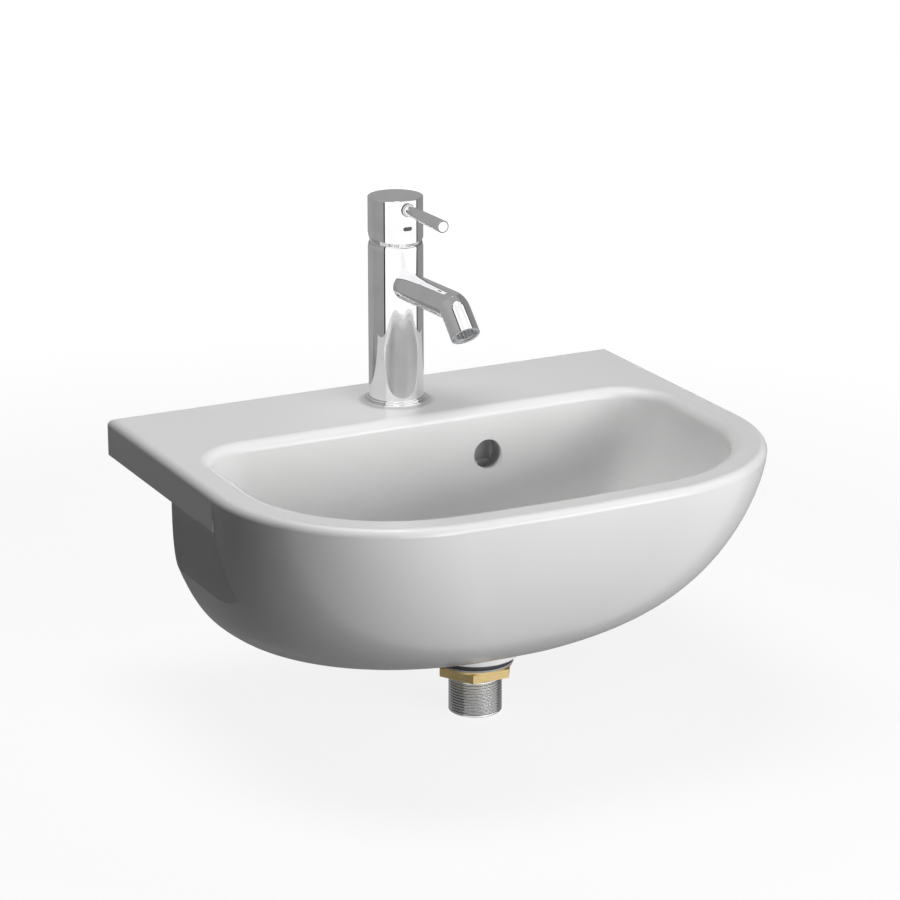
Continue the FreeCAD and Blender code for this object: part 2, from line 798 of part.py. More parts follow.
def make_spout():
    """A tube swept along a run, a bend and a short drop, seated on the round body."""
    radius = size("spout_radius")
    run = size("spout_run")
    bend_radius = size("spout_bend_radius")
    bend = math.radians(float(size("spout_bend")))
    body = doc.addObject("PartDesign::Body", "spout_body")
    start = 10.0
    path = sketch_on(body, "YZ_Plane", "spout_path")
    run_end = Vector(-float(run), 0, 0)
    arc_centre = Vector(-float(run), -float(bend_radius), 0)
    arc_end = arc_centre + Vector(-math.sin(bend), math.cos(bend), 0) * float(bend_radius)
    heading = Vector(-math.cos(bend), -math.sin(bend), 0)
    tip = arc_end + heading * float(size("spout_drop"))
    up = Vector(0, 0, 1)
    round_part = Part.ArcOfCircle(
        Part.Circle(arc_centre, up, float(bend_radius)), math.pi / 2, math.pi / 2 + bend
    )
    path.addGeometry(Part.LineSegment(Vector(-start, 0, 0), run_end))
    path.addGeometry(round_part)
    path.addGeometry(Part.LineSegment(arc_end, tip))
    constrain(path, "Tangent", 0, 2, 1, 1)
    constrain(path, "Tangent", 1, 2, 2, 1)
    constrain(path, "Horizontal", 0)
    constrain(path, "PointOnObject", 0, 1, -1)
    constrain(path, "DistanceX", -1, 1, 0, 1, number=-start)
    constrain(path, "DistanceX", 0, 2, -1, 1, number=run)
    constrain(path, "Radius", 1, number=bend_radius)
    constrain(path, "Distance", 2, number=size("spout_drop"))
    ring = body.newObject("Sketcher::SketchObject", "spout_section")
    ring.AttachmentSupport = [(origin_plane(body, "XZ_Plane"), "")]
    ring.MapMode = "FlatFace"
    ring.AttachmentOffset = Placement(Vector(0, 0, start), Rotation())
    ring.addGeometry(Part.Circle(Vector(0, 0, 0), up, float(radius)))
    constrain(ring, "Coincident", 0, 3, -1, 1)
    constrain(ring, "Radius", 0, number=radius)
    doc.recompute()
    pipe = body.newObject("PartDesign::AdditivePipe", "spout_tube")
    pipe.Profile = ring
    pipe.Spine = path
    pipe.Transition = "Transformed"
    body.Tip = pipe
    tilt = Rotation(Vector(1, 0, 0), -float(size("spout_rise")))
    home = Vector(0, float(tap_y), float(deck + size("spout_height")))
    put(body, (0, tap_y, deck + size("spout_height")), tilt)

    def place_of(point, turn):
        """A place on the path, in the basin's frame, with the pieces' own axis along the tube."""
        spot = tilt.multVec(Vector(0, point.x, point.y)) + home
        return spot, tilt * turn

    inner_path = Part.Wire(
        [
            Part.LineSegment(Vector(0, -5, 0), Vector(0, run_end.x, 0)).toShape(),
            Part.Arc(
                Vector(0, run_end.x, 0),
                Vector(
                    0,
                    arc_centre.x - float(bend_radius) * math.sin(bend / 2),
                    arc_centre.y + float(bend_radius) * math.cos(bend / 2),
                ),
                Vector(0, arc_end.x, arc_end.y),
            ).toShape(),
            Part.LineSegment(
                Vector(0, arc_end.x, arc_end.y), Vector(0, (tip + heading).x, (tip + heading).y)
            ).toShape(),
        ]
    )
    bore = Part.makeCircle(float(size("spout_bore_radius")), Vector(0, -5, 0), Vector(0, 1, 0))
    inner_ring = Part.Wire(bore)
    channel = formed("spout_channel", inner_path.makePipeShell([inner_ring], True, True))
    channel.Placement = Placement(home, tilt)
    down_turn = Rotation(Vector(1, 0, 0), 90 + float(size("spout_bend")))
    mouth_depth = 10.0
    spot, turn = place_of(tip - heading * mouth_depth, down_turn)
    mouth = cylinder(radius - 1.2, mouth_depth + 1, tuple(spot), turn)
    saddle = cylinder(tap_radius, 60, (0, tap_y, deck + size("spout_height") - 30))
    spot, turn = place_of(Vector(-4, 0, 0), Rotation(Vector(1, 0, 0), 90))
    spigot = cylinder(radius - 3.4, 24, tuple(spot), turn)
    node("spout", cut(fused(cut(body, saddle), spigot), channel, mouth))

    spot, turn = place_of(tip - heading * mouth_depth, down_turn)
    node("aerator_seal", washer("seal_ring", 8.2, radius - 1.25, 1.6, tuple(spot), turn))
    spot, turn = place_of(tip - heading * (mouth_depth - 1.6), down_turn)
    housing = turned(
        "mouth_ring",
        [
            (8.2, 0),
            (radius - 1.25, 0),
            (radius - 1.25, 7.7),
            (radius - 1.7, 8.2),
            (radius - 2.1, 8.2),
            (9.3, 7.4),
            (9.3, 1.4),
            (8.2, 1.4),
        ],
        tuple(spot),
        turn,
    )
    node("aerator_housing", housing)
    spot, turn = place_of(tip - heading * (mouth_depth - 3.2), down_turn)
    disc = cylinder(9.2, 5.4, tuple(spot), turn)
    cells = []
    pitch = 3.1
    for ring_row in range(-2, 3):
        for column in range(-2, 3):
            across = pitch * (column + 0.5 * ring_row)
            upward = pitch * ring_row * math.sqrt(0.75)
            if math.hypot(across, upward) > 2.1 * pitch:
                continue
            centre = spot + turn.multVec(Vector(across, upward, 1.2))
            cell = doc.addObject("Part::Prism", "Cell")
            cell.Polygon = 6
            cell.Circumradius = 1.5
            cell.Height = 6
            cells.append(put(cell, tuple(centre), turn * Rotation(Vector(0, 0, 1), 30)))
    node("aerator_insert", cut(disc, *cells))


def make_tap_base():
    ring_height = size("tap_ring_height")
    outer = size("tap_ring_radius")
    ring = turned(
        "base_ring",
        [
            (16.8, 0),
            (17.8, 0),
            (17.8, 1.6),
            (21.8, 1.6),
            (21.8, 0),
            (outer, 0),
            (outer, 2.8),
            (23.4, 2.8),
            (23.4, ring_height),
            (16.8, ring_height),
        ],
        (0, tap_y, deck),
    )
    rounded(ring, 1.1, (outer, 2.8))
    rounded(ring, 0.8, (23.4, ring_height))
    node("tap_base_ring", ring)
    node("tap_base_seal", washer("base_seal", 17.8, 21.8, 1.6, (0, tap_y, deck)))


# ---------------------------------------------------------------- cartridge


def make_cartridge():
    """The ceramic disc cartridge, from its seat up to the turning neck that holds the stem."""
    seat = pivot_z - seat_drop
    spot = (0, tap_y, seat)
    housing = turned(
        "cartridge_shell",
        [
            (10.3, 0),
            (14, 0),
            (14, 4),
            (12.6, 4),
            (12.6, 25),
            (8 + gap, 25),
            (8 + gap, 22.7),
            (11.3, 22.7),
            (11.3, 2),
            (10.3, 2),
        ],
        spot,
    )
    node("cartridge_body", housing)
    foot = turned("foot", [(0, 0), (10.2, 0), (10.2, 2), (11.25, 2), (11.25, 8), (0, 8)], spot)
    ports = [(-5.5, 2, 2.2), (5.5, 2, 2.2), (0, -5.8, 2.4)]
    foot_holes = [cylinder(r, 12, (x, tap_y + y, seat - 1)) for x, y, r in ports]
    grooves = [cylinder(r + 1.65, 3.4, (x, tap_y + y, seat - 1)) for x, y, r in ports]
    node("cartridge_base", cut(foot, *foot_holes, *grooves))
    seals = [washer("port_seal", r + 0.2, r + 1.6, 2.4, (x, tap_y + y, seat)) for x, y, r in ports]
    node("port_seals", gathered(*seals))
    disc = cylinder(11.2, 3.5, (0, tap_y, seat + 8))
    disc_holes = [cylinder(r, 6, (x, tap_y + y, seat + 7)) for x, y, r in ports]
    node("fixed_disc", cut(disc, *disc_holes))
    rest_back = 1.7
    y = tap_y + rest_back
    slider = cylinder(8.4, 3.5, (0, y, seat + 11.5))
    bridge = fused(
        cylinder(2.6, 2.4, (0, y - 3, seat + 11)),
        cylinder(2.6, 2.4, (0, y + 3, seat + 11)),
        block(5.2, 6, 2.4, (-2.6, y - 3, seat + 11)),
    )
    node("moving_disc", cut(slider, bridge))
    driver = cylinder(8.4, 4.5, (0, y, seat + 15))
    slot = block(5.2, 5, 4, (-2.6, tap_y - 2.5, seat + 16.2))
    node("disc_driver", cut(driver, slot))
    neck = turned(
        "neck",
        [(0, 0), (11.3 - gap, 0), (11.3 - gap, 2.6), (8, 2.6), (8, 10), (0, 10)],
        (0, tap_y, seat + 20),
    )
    window = block(7.4, 13.2, 14, (-3.7, tap_y - 7.4, seat + 18))
    pin_hole = cylinder(1.5, 30, (-15, tap_y, pivot_z), Rotation(Vector(0, 1, 0), 90))
    node("rotor", cut(neck, window, pin_hole))
    node("pivot_pin", cylinder(1.5, 15.4, (-7.7, tap_y, pivot_z), Rotation(Vector(0, 1, 0), 90)))
    ball_z = pivot_z - 8.3
    shank = cylinder(1.7, 6, (0, tap_y, ball_z))
    knob = ball(2.2, (0, tap_y, ball_z))
    square = block(7, 7, 25, (-3.5, tap_y - 3.5, pivot_z - 3))
    stem_hole = cylinder(1.5 + gap, 20, (-10, tap_y, pivot_z), Rotation(Vector(0, 1, 0), 90))
    node("stem", cut(fused(shank, knob, square), stem_hole))
    nut_ring = cylinder(15.45, 4, (0, tap_y, seat + 4))
    nut_hex = hexagon(26.6, 4, (0, tap_y, seat + 8))
    nut_bore = cylinder(12.7, 30, (0, tap_y, seat))
    node("retaining_nut", cut(fused(nut_ring, nut_hex), nut_bore))
    bonnet = turned(
        "bonnet",
        [(15.9, 0), (18.95, 0), (18.95, 3.5), (15.9, 2)],
        (0, tap_y, seat + 10),
    )
    node("bonnet_ring", bonnet)


# ---------------------------------------------------------------- handle


def make_handle():
    top = size("cap_top")
    low = size("neck_height") - 4
    neck_radius = size("neck_radius")
    inner = tap_radius - size("cap_wall")
    tall = top - low
    barrel = turned(
        "cap_barrel",
        [(0, 0), (tap_radius, 0), (tap_radius, tall), (0, tall)],
        (0, tap_y, deck + low),
    )
    rounded(barrel, 0.8, (tap_radius, tall))
    flare = 6.2
    envelope = turned(
        "cap_envelope",
        [(0, 0), (neck_radius, 0), (tap_radius + 0.6, flare), (40, flare), (40, 60), (0, 60)],
        (0, tap_y, neck_z + size("neck_gap")),
        joint_slope,
    )
    skirt_low = pivot_z - 6.5
    skirt = cylinder(neck_radius - 0.2, 10, (0, tap_y, skirt_low))
    inside = cylinder(inner, deck + top - 3.5 - skirt_low + 1, (0, tap_y, skirt_low - 1))
    shell = cut(fused(shared(barrel, envelope), skirt), inside)
    boss_low = deck + size("pivot_height") + 6.5
    boss = cylinder(7, deck + top - 3 - boss_low, (0, tap_y, boss_low))
    socket = block(7.1, 7.1, 17, (-3.55, tap_y - 3.55, boss_low - 1))
    lever_z = deck + size("lever_height")
    index_z = deck + size("index_height")
    lever_hole = cylinder(3, 20, (0, tap_y - 5, lever_z), forward_turn)
    recess = cylinder(5.4, 5, (0, tap_y - tap_radius + 1.2, lever_z), forward_turn)
    screw_hole = cylinder(1.5, 20, (0, tap_y - 3, index_z), forward_turn)
    oval = stadium(1.6, 3.8, 6, -tap_radius + 4, index_z)
    hollow = fused(socket, lever_hole, recess, screw_hole, oval)
    node("handle_cap", cut(fused(shell, boss), hollow))

    reach = size("lever_reach")
    root = size("lever_root_radius")
    tip = size("lever_tip_radius")
    spigot_length = tap_radius - 1.2 - 5
    rod_length = reach - tap_radius + 1.2
    rod = turned(
        "rod",
        [
            (0, 0),
            (3, 0),
            (3, spigot_length),
            (root, spigot_length),
            (root, spigot_length + 6),
            (tip, spigot_length + rod_length - 12),
            (tip, spigot_length + rod_length),
            (0, spigot_length + rod_length),
        ],
        (0, tap_y - 5, lever_z),
        forward_turn,
    )
    rounded(rod, 0.5, (tip, spigot_length + rod_length))
    node("lever_pin", rod)
    collar_at = (0, tap_y - tap_radius + 1.2, lever_z)
    node("lever_collar", washer("collar", root, 5.3, 2.2, collar_at, forward_turn))
    screw = cylinder(1.5, 5, (0, tap_y - 3.5, index_z), forward_turn)
    key = doc.addObject("Part::Prism", "Key")
    key.Polygon = 6
    key.Circumradius = 0.87
    key.Height = 3
    put(key, (0, tap_y - 6.5, index_z), forward_turn)
    node("grub_screw", cut(screw, key))
    plate = stadium(1.55, 3.75, 3, -tap_radius + 3.2, index_z)
    skin = cut(cylinder(30, 12, (0, tap_y, index_z - 6)), cylinder(21.7, 14, (0, tap_y, index_z - 7)))
    node("index_plug", cut(plate, skin))


def stadium(radius, half_length, thickness, from_axis, level):
    """An oval plate lying across the handle's front, thick along the lever."""
    spread = half_length - radius
    y = tap_y + from_axis
    return fused(
        cylinder(radius, thickness, (spread, y, level), forward_turn),
        cylinder(radius, thickness, (-spread, y, level), forward_turn),
        block(2 * spread, thickness, 2 * radius, (-spread, y - thickness, level - radius)),
    )


# ---------------------------------------------------------------- under the deck


def make_fixings():
    under = rim_height - size("deck_thickness")
    stud_y = tap_y + size("stud_back")
    stud = cylinder(size("stud_radius"), 70, (0, stud_y, deck + size("tap_ring_height") + 12 - 70))
    node("fixing_stud", stud)

    gate = 13.8

    def horseshoe(height, level):
        plate = cylinder(22, height, (0, tap_y, level))
        opening = fused(
            cylinder(gate, height + 2, (0, tap_y - 4.8, level - 1)),
            block(gate * 2, 30, height + 2, (-gate, tap_y - 34.8, level - 1)),
        )
        hole = cylinder(size("stud_radius") + 0.2, height + 2, (0, stud_y, level - 1))
        return cut(plate, opening, hole)

    node("horseshoe_washer", horseshoe(3, under - 3))
    node("horseshoe_plate", horseshoe(2, under - 5))
    nut = hexagon(10, 8, (0, stud_y, under - 13))
    node("stud_nut", cut(nut, cylinder(size("stud_radius"), 12, (0, stud_y, under - 15))))


# ---------------------------------------------------------------- build and write

make_basin()
make_waste()
make_plug()
make_tap_base()
make_tap_body()
make_spout()
make_cartridge()
make_handle()
make_fixings()
doc.recompute()

for item in doc.Objects:
    if "Invalid" in item.State or "Error" in item.State:
        raise RuntimeError(f"{item.Name} ({item.Label}) did not build: {item.getStatusString()}")
for piece in nodes:
    if piece.Shape.isNull() or not piece.Shape.isValid():
        raise RuntimeError(f"{piece.Label} has no valid shape")

os.makedirs("parts", exist_ok=True)
for piece in nodes:
    piece.Shape.exportStep(f"parts/{piece.Label}.step")
    box = piece.Shape.BoundBox
    print(
        f"{piece.Label:20s} {len(piece.Shape.Solids)} solid {piece.Shape.Volume:10.1f} mm3"
        f"  x {box.XMin:.1f} {box.XMax:.1f}  y {box.YMin:.1f} {box.YMax:.1f}"
        f"  z {box.ZMin:.1f} {box.ZMax:.1f}"
    )
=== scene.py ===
import json
import math

import bmesh
import bpy
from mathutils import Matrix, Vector


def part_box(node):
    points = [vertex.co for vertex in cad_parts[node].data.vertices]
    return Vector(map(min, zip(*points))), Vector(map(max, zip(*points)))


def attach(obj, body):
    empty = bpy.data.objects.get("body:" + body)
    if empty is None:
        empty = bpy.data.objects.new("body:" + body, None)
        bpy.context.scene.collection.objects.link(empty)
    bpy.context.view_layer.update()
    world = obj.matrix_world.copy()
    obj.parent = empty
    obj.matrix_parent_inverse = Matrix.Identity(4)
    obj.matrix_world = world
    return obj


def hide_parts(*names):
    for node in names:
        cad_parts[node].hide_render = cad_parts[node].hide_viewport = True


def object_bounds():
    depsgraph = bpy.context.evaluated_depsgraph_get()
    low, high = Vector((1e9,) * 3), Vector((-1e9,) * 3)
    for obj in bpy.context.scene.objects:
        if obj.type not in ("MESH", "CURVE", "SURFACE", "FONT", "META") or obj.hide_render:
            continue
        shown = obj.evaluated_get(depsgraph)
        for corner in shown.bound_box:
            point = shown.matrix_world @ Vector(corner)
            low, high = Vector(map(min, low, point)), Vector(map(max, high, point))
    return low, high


# Semi recessed basin: glazed white china with a chrome one hole mixer and click waste.
# Metres, in the CAD model's frame: +X to the user's right, +Y towards the wall, +Z up.

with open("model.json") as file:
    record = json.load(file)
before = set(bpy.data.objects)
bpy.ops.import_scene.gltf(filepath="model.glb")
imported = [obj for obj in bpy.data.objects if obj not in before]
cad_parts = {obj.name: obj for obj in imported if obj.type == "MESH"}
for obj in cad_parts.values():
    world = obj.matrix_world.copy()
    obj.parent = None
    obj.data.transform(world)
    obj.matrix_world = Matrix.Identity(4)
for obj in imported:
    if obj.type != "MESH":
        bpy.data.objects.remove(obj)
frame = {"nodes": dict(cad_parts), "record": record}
cad_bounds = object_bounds()
nodes = frame["nodes"]

# ------------------------------------------------------------------ camera and studio

CAMERA_PLACE = (-1.0900, -2.2923, 0.7858)
CAMERA_AZIMUTH = math.radians(-26.985)
CAMERA_ELEVATION = math.radians(17.801)
FOCAL_PIXELS = 3244.7
FRAME_PIXELS = 900
SENSOR_MM = 36.0
CAMERA_REACH = 50

# The floor lies just under the part, and turns plain white between the two fade distances.
FLOOR_DROP = 0.001
FLOOR_LEVEL = cad_bounds[0][2] - FLOOR_DROP
FLOOR_SIZE = 16.0
FLOOR_SHADE = 0.14
FLOOR_GLOW = 0.85
FADE_FROM = 0.55
FADE_TO = 1.5

# The room of cards that polished surfaces show: its walls, and the brightness of each.
CARD_SIDE = 0.75
CARD_FRONT = -0.26
CARD_BACK = 0.62
CARD_LOW = FLOOR_LEVEL + 0.002
CARD_HIGH = 1.5
CARD_EDGE = 0.08
EDGE_FRONT = CARD_FRONT - CARD_EDGE
LIGHT_FRONT = -0.62
CARD_FADE_TOP = CARD_HIGH * 0.4
FRONT_WHITE = 1.15
LEFT_GREY = 0.42
LEFT_FALL = 0.75
RIGHT_GREY = 0.25
RIGHT_FALL = 1.25
BACK_GREY = 0.36
TOP_GREY = 0.38
GROUND_GREY = 0.26

WHITE = (1, 1, 1, 1)
WORLD_FILL = 0.02
WORLD_WHITE = 1.0
LAMP_AIM = Vector((0.0, -0.18, 0.0))

# Each softbox: name, place, width, height, watts, and whether gloss shows it.
SOFTBOXES = (
    ("key_right", (0.9, -2.6, 0.38), 2.2, 0.85, 64, True),
    ("top", (-0.25, 0.05, 1.82), 0.7, 1.2, 25, True),
    ("rear_fill", (1.3, 2.2, 0.12), 1.8, 0.5, 34, False),
)

# ------------------------------------------------------------------ places on the part

# The overflow's hole in the bowl's rear wall, where the glaze ends over a short depth and the
# bare clay is darkened as painted shade.
OVERFLOW_SIDE = 0.055
OVERFLOW_LEVEL = -0.0085
OVERFLOW_RADIUS = 0.0118
OVERFLOW_LIMIT = OVERFLOW_RADIUS * 1.02
BOWL_REAR = -0.1095
GLAZE_END = BOWL_REAR + 0.004
DUCT_BACK = -0.0885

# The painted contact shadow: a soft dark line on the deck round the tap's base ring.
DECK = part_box("basin")[1].z
DECK_FROM = DECK - 0.002
ring_low, ring_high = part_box("tap_base_ring")
RING_MIDDLE = (0.0, (ring_low.y + ring_high.y) / 2, 0.0)
RING_RADIUS = (ring_high.x - ring_low.x) / 2
CONTACT_SHADE_SPREAD = 0.006
CONTACT_SHADE_STRENGTH = 0.5

# The faces of the lever's rod and of its collar, and the band of their rounded edges as
# shares of the radius, where a dark reflection is painted.
FACE_SHARE = 0.92
lever_low, lever_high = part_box("lever_pin")
LEVER_TIP = (0.0, lever_low.y, (lever_low.z + lever_high.z) / 2)
LEVER_TIP_RADIUS = (LEVER_TIP[2] - lever_low.z) * FACE_SHARE
collar_low, collar_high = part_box("lever_collar")
COLLAR_FACE = (0.0, collar_low.y, (collar_low.z + collar_high.z) / 2)
COLLAR_RADIUS = (collar_high.z - collar_low.z) / 2
RIM_INNER = 0.86
RIM_OUTER = 0.94
RIM_LIMIT = 1.04

# The thread on the waste's free tail, with so many rows of faces to each turn.
NUT_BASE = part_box("waste_backnut")[0].z
THREAD_RADIUS = 0.02095
THREAD_DEPTH = 0.00078
THREAD_PITCH = 0.002309
THREAD_ROWS = 12
WELD_DISTANCE = 1e-6
WALL_TOLERANCE = 2e-5
END_TOLERANCE = 1e-5
SHARP_ANGLE = math.radians(40)

# ------------------------------------------------------------------ colours

GLAZE_DARK = (0.792, 0.792, 0.789)
GLAZE_LIGHT = (0.808, 0.808, 0.805)
# Bare clay grey, darkened as painted shade inside the overflow.
BARE_CLAY_AND_SHADE = 0.42
# Grey of the painted contact shadow round the tap's base.
CONTACT_SHADE_GREY = 0.2
CHROME = (0.9, 0.9, 0.909)
# Grey of the painted dark reflection on the lever's rounded rims.
RIM_REFLECTION_GREY = 0.1
CUT_GREY = 0.3
CUT_SHARE = 0.45
CUT_ROUGHNESS = 0.2
BRASS = (0.72, 0.55, 0.26)
STEEL = (0.60, 0.61, 0.62)
RUBBER = (0.028, 0.028, 0.03)
WHITE_PLASTIC = (0.72, 0.72, 0.70)
GREY_PLASTIC = (0.33, 0.34, 0.35)
DISC_CERAMIC = (0.80, 0.79, 0.75)
INDEX_DARK = (0.06, 0.06, 0.07)

# The values between which most of a noise lies.
NOISE_LOW = 0.3
NOISE_HIGH = 0.7

# ------------------------------------------------------------------ node helpers


class Graph:
    """A short way to write a node tree: add() makes a node, sets its sockets and links it."""

    def __init__(self, owner):
        owner.use_nodes = True
        self.owner = owner
        self.tree = owner.node_tree
        self.tree.nodes.clear()

    def add(self, kind, settings=None, **sockets):
        made = self.tree.nodes.new(kind)
        for key, value in (settings or {}).items():
            setattr(made, key, value)
        for key, value in sockets.items():
            self.feed(made.inputs[key.replace("_", " ")], value)
        return made

    def feed(self, socket, value):
        """Links a socket to another's output, or gives it a plain value."""
        if isinstance(value, bpy.types.NodeSocket):
            self.tree.links.new(value, socket)
        else:
            socket.default_value = value

    def show(self, shader, kind="ShaderNodeOutputMaterial"):
        """Ends the tree in a shader, and returns the material or world that it belongs to."""
        self.add(kind, Surface=shader.outputs[0])
        return self.owner

    def surface(self, **sockets):
        return self.show(self.add("ShaderNodeBsdfPrincipled", **sockets))

    def place(self):
        """Positions in metres in the CAD frame, the same on every piece."""
        return self.add("ShaderNodeTexCoord").outputs["Object"]

    def axes(self):
        """The X, Y and Z of a position."""
        return tuple(self.add("ShaderNodeSeparateXYZ", Vector=self.place()).outputs)

    def stretched(self, scale):
        """Positions whose axes are scaled, to draw a noise out into lines."""
        return self.add("ShaderNodeMapping", Vector=self.place(), Scale=scale).outputs["Vector"]

    def distance(self, place, middle):
        made = self.add("ShaderNodeVectorMath", {"operation": "DISTANCE"}, Vector=place)
        made.inputs[1].default_value = middle
        return made.outputs["Value"]

    def noise(self, scale, detail=3.0, rough=0.5, place=None):
        made = self.add("ShaderNodeTexNoise", Scale=scale, Detail=detail, Roughness=rough)
        self.feed(made.inputs["Vector"], place or self.place())
        return made.outputs["Fac"]

    def maths(self, operation, first, second=0.0):
        made = self.add("ShaderNodeMath", {"operation": operation})
        self.feed(made.inputs[0], first)
        self.feed(made.inputs[1], second)
        return made.outputs[0]

    def product(self, first, *others):
        for other in others:
            first = self.maths("MULTIPLY", first, other)
        return first

    def spread(self, value, low, high, to_low, to_high):
        """Maps low to high onto to_low to to_high, and keeps what is beyond at these ends."""
        sockets = {"From_Min": low, "From_Max": high, "To_Min": to_low, "To_Max": to_high}
        return self.add("ShaderNodeMapRange", Value=value, **sockets).outputs["Result"]

    def ramp(self, value, low, first, high, second):
        """A colour that goes from first to second as value goes from low to high."""
        made = self.add("ShaderNodeValToRGB", Fac=value)
        ends = made.color_ramp.elements
        for end, position, colour in zip(ends, (low, high), (first, second)):
            end.position = position
            end.color = (*colour, 1)
        return made.outputs["Color"]

    def mottled(self, value, colour, dark):
        """A colour that a noise darkens, down to a share of it."""
        return self.ramp(value, NOISE_LOW, darker(colour, dark), NOISE_HIGH, colour)

    def mix(self, share, colour, grey):
        """A colour that turns into a plain grey where share is 1."""
        made = self.add("ShaderNodeMix", {"data_type": "RGBA"})
        self.feed(made.inputs[0], share)
        self.feed(made.inputs[6], colour)
        made.inputs[7].default_value = (grey, grey, grey, 1)
        return made.outputs[2]

    def bump(self, height, distance, strength=1.0, normal=None):
        made = self.add("ShaderNodeBump", Height=height, Distance=distance, Strength=strength)
        if normal is not None:
            self.feed(made.inputs["Normal"], normal)
        return made.outputs["Normal"]

    def background_rays(self):
        """1 for the rays that see a plain white background: the camera's, gloss and glass."""
        path = self.add("ShaderNodeLightPath")
        seen = path.outputs["Is Camera Ray"]
        for kind in ("Is Glossy Ray", "Is Transmission Ray"):
            seen = self.maths("MAXIMUM", seen, path.outputs[kind])
        return seen


def material_graph(name):
    return Graph(bpy.data.materials.new(name))


def darker(colour, share):
    return tuple(channel * share for channel in colour)


# ------------------------------------------------------------------ materials


def make_china():
    """White glaze over fired clay, faintly wavy.

    The clay inside the overflow is bare and dull, and darker as painted shade of the recess; a
    soft dark line on the deck round the tap is a painted contact shadow.
    """
    g = material_graph("glazed_china")
    x, y, z = g.axes()
    glaze = g.ramp(g.noise(9.0, detail=2.0), 0.35, GLAZE_DARK, 0.65, GLAZE_LIGHT)
    # Bare clay in the overflow, a darker grey as painted shade of the recess.
    upright = g.add("ShaderNodeCombineXYZ", X=x, Z=z).outputs[0]
    off_hole = g.distance(upright, (OVERFLOW_SIDE, 0.0, OVERFLOW_LEVEL))
    around = g.maths("LESS_THAN", off_hole, OVERFLOW_LIMIT)
    within = g.spread(y, BOWL_REAR, GLAZE_END, to_low=0.0, to_high=1.0)
    before = g.maths("LESS_THAN", y, DUCT_BACK)
    colour = g.mix(g.product(around, within, before), glaze, BARE_CLAY_AND_SHADE)
    # Painted contact shadow: the deck darkens in a soft ring round the tap's base ring.
    level = g.add("ShaderNodeCombineXYZ", X=x, Y=y).outputs[0]
    off_ring = g.distance(level, RING_MIDDLE)
    near = g.spread(
        off_ring, RING_RADIUS, RING_RADIUS + CONTACT_SHADE_SPREAD, to_low=CONTACT_SHADE_STRENGTH, to_high=0.0
    )
    top = g.maths("GREATER_THAN", z, DECK_FROM)
    colour = g.mix(g.product(near, top), colour, CONTACT_SHADE_GREY)
    gloss = g.spread(g.noise(26.0, detail=2.0), NOISE_LOW, NOISE_HIGH, to_low=0.2, to_high=0.25)
    waves = g.bump(g.noise(38.0, detail=1.0), distance=0.00012, strength=0.35)
    grain = g.bump(g.noise(620.0, detail=2.0), distance=0.00001, strength=0.1, normal=waves)
    return g.surface(
        Base_Color=colour, Roughness=gloss, Normal=grain, IOR=1.5, Specular_IOR_Level=0.4
    )


def make_chrome(name, rim=None, cut_below=None):
    """Polished plate: almost a mirror, with hair-fine wiping marks and a slight orange peel.

    rim is the middle and radius of a rod's end, whose rounded edge gets a painted dark
    reflection.
    Below cut_below the plate lies over a cut thread, which is duller and darker.
    """
    g = material_graph(name)
    colour = g.ramp(g.noise(60.0), 0.3, darker(CHROME, 0.93), 0.6, CHROME)
    wipes = g.noise(240.0, detail=4.0, rough=0.6, place=g.stretched((1.0, 1.0, 14.0)))
    gloss = g.spread(wipes, 0.35, 0.75, to_low=0.012, to_high=0.035)
    peel = g.bump(g.noise(160.0, detail=1.0), distance=0.000006, strength=0.2)
    # Painted reflection: a dark band on the rounded rim of the rod's end.
    if rim:
        middle, radius = rim
        away = g.distance(g.place(), middle)
        edge = g.spread(away, radius * RIM_INNER, radius * RIM_OUTER, to_low=0, to_high=1)
        near = g.maths("LESS_THAN", away, radius * RIM_LIMIT)
        colour = g.mix(g.product(edge, near), colour, RIM_REFLECTION_GREY)
    if cut_below is not None:
        lower = g.maths("LESS_THAN", g.axes()[2], cut_below)
        colour = g.mix(g.product(lower, CUT_SHARE), colour, CUT_GREY)
        gloss = g.maths("MAXIMUM", gloss, g.product(lower, CUT_ROUGHNESS))
    return g.surface(Base_Color=colour, Metallic=1.0, Roughness=gloss, Normal=peel)


def make_threaded(name, base, roughness, pitch, below):
    """A metal with a cut thread on its walls below a level, drawn as relief."""
    g = material_graph(name)
    z = g.axes()[2]
    ridge = g.maths("SINE", g.product(z, 2 * math.pi / pitch))
    relief = g.product(ridge, g.maths("LESS_THAN", z, below))
    stain = g.noise(90.0)
    gloss = g.spread(stain, NOISE_LOW, NOISE_HIGH, roughness * 0.8, roughness * 1.3)
    return g.surface(
        Base_Color=g.mottled(stain, base, dark=0.86),
        Metallic=1.0,
        Roughness=gloss,
        Normal=g.bump(relief, distance=pitch * 0.18),
    )


def make_metal(name, base, roughness):
    """Turned or pressed metal, with fine tool lines around its axis."""
    g = material_graph(name)
    tool = g.noise(9.0, detail=2.0, place=g.stretched((6.0, 6.0, 260.0)))
    stain = g.noise(45.0, detail=4.0, rough=0.6)
    gloss = g.spread(tool, NOISE_LOW, NOISE_HIGH, roughness * 0.75, roughness * 1.25)
    return g.surface(
        Base_Color=g.mottled(stain, base, dark=0.82),
        Metallic=1.0,
        Roughness=gloss,
        Normal=g.bump(tool, distance=0.00004, strength=0.5),
    )


def make_moulded(name, base, roughness, grain=1200.0, depth=0.00001):
    """Moulded plastic, rubber or ceramic: a fine grain and a little unevenness."""
    g = material_graph(name)
    fine = g.noise(grain, rough=0.6)
    broad = g.noise(40.0, detail=2.0)
    gloss = g.spread(fine, NOISE_LOW, NOISE_HIGH, roughness * 0.85, roughness * 1.15)
    return g.surface(
        Base_Color=g.mottled(broad, base, dark=0.9),
        Roughness=gloss,
        Normal=g.bump(fine, distance=depth, strength=0.6),
    )


